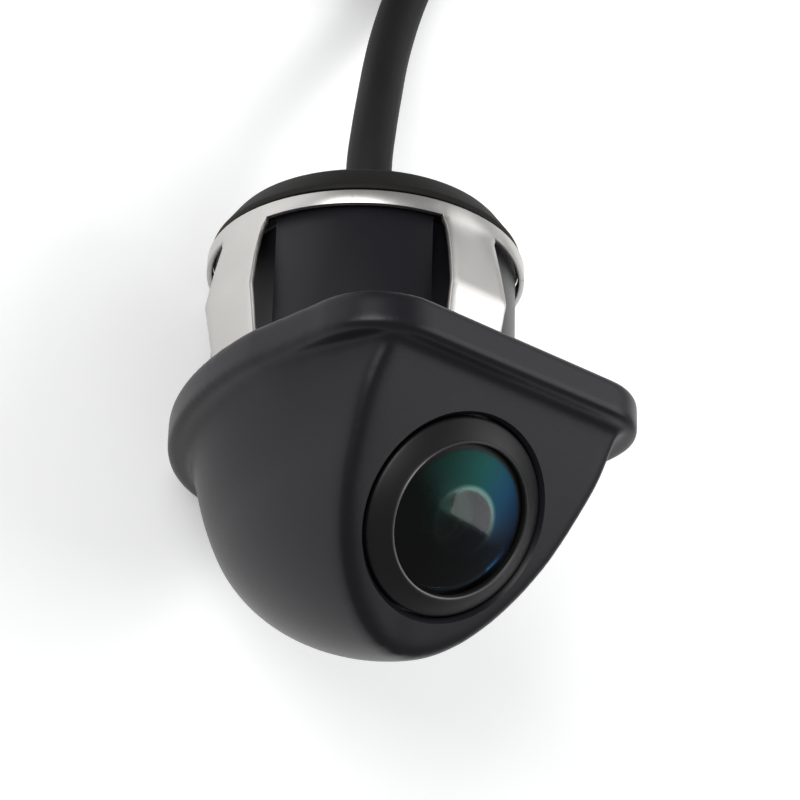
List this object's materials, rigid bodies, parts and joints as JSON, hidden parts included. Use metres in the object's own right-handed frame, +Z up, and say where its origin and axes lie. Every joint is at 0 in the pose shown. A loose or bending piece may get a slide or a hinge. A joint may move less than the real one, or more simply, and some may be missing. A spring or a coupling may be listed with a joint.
{
  "type": "backup camera",
  "caption": "Flush-mount reversing camera: black domed housing with a slanted lens, round barrel with a spring clip, rear cap, coiled pigtail and screw connector.",
  "frame": {"origin": "centre of the camera's footprint, cord aside, on the table that it lies on", "axes": "+Y runs from the dome towards the cable, +Z up from the table; the lens looks up and towards -Y, and the part is symmetric in X apart from its cord"},
  "size_m": [0.0502, 0.0959, 0.0295],
  "materials": {
    "housing_paint": "satin black paint on die-cast alloy",
    "cap_plastic": "fine matt moulded black",
    "clip_steel": "stamped stainless spring steel",
    "lens_black": "black anodised, turned",
    "coated_glass": "anti-reflection coated, green and blue glints",
    "clear_glass": "polished",
    "seal_rubber": "matt",
    "cord_jacket": "matt PVC jacket",
    "board_green": "solder mask",
    "chip_black": "epoxy package",
    "sensor_glass": "glass-covered die",
    "header_white": "natural nylon",
    "brass": "machined",
    "screw_steel": "plated",
    "wire_red": "PVC",
    "wire_black": "PVC",
    "wire_yellow": "PVC",
    "wire_white": "PVC",
    "connector_plastic": "moulded glass-filled nylon"
  },
  "bodies": {
    "camera": {"housing": "housing_paint", "lens_body": "lens_black", "front_glass": "coated_glass", "glass_spacer": "lens_black", "second_glass": "clear_glass", "aperture_stop": "lens_black", "rear_glass": "clear_glass", "rear_retainer": "lens_black", "lens_seal": "seal_rubber", "lens_lock_ring": "brass", "lens_holder": "cap_plastic", "infrared_filter": "clear_glass", "image_sensor": "sensor_glass", "sensor_board": "board_green", "video_chip": "chip_black", "lead_header": "header_white", "lead_plug": "header_white", "board_screw_1": "screw_steel", "board_screw_2": "screw_steel", "lead_wire_1": "wire_red", "lead_wire_2": "wire_black", "lead_wire_3": "wire_yellow", "lead_wire_4": "wire_white", "clip_ring": "clip_steel", "rear_cap": "cap_plastic", "cap_seal": "seal_rubber", "cable_grommet": "seal_rubber", "cord_lead": "cord_jacket", "cord_tail": "cord_jacket", "cord_coil": "cord_jacket", "coil_tie": "seal_rubber", "plug_boot": "seal_rubber", "plug_shell": "connector_plastic", "plug_insert": "connector_plastic", "plug_seal": "seal_rubber", "plug_pin_1": "brass", "plug_pin_2": "brass", "plug_pin_3": "brass", "plug_pin_4": "brass"},
    "leg_right": {"clip_leg_right": "clip_steel"},
    "leg_back": {"clip_leg_back": "clip_steel"},
    "leg_left": {"clip_leg_left": "clip_steel"},
    "leg_front": {"clip_leg_front": "clip_steel"},
    "collar": {"collar_nut": "connector_plastic"}
  },
  "joints": [
    {"name": "leg_right_flex", "type": "hinge", "parent": "camera", "child": "leg_right", "pos_m": [0.0106, 0.00932, 0.01069], "axis": [0, -0.2792, -0.9602], "range_deg": [0, 6.5], "stiffness_Nm_per_rad": 0.12},
    {"name": "leg_back_flex", "type": "hinge", "parent": "camera", "child": "leg_back", "pos_m": [0, 0.00636, 0.00051], "axis": [-1, 0, 0], "range_deg": [0, 6.5], "stiffness_Nm_per_rad": 0.12},
    {"name": "leg_left_flex", "type": "hinge", "parent": "camera", "child": "leg_left", "pos_m": [-0.0106, 0.00932, 0.01069], "axis": [0, 0.2792, 0.9602], "range_deg": [0, 6.5], "stiffness_Nm_per_rad": 0.12},
    {"name": "leg_front_flex", "type": "hinge", "parent": "camera", "child": "leg_front", "pos_m": [0, 0.01228, 0.02087], "axis": [1, 0, 0], "range_deg": [0, 6.5], "stiffness_Nm_per_rad": 0.12},
    {"name": "collar_spin", "type": "hinge", "parent": "camera", "child": "collar", "pos_m": [-0.018, 0.0651, 0.0147], "axis": [-1, 0, 0], "continuous": true}
  ]
}
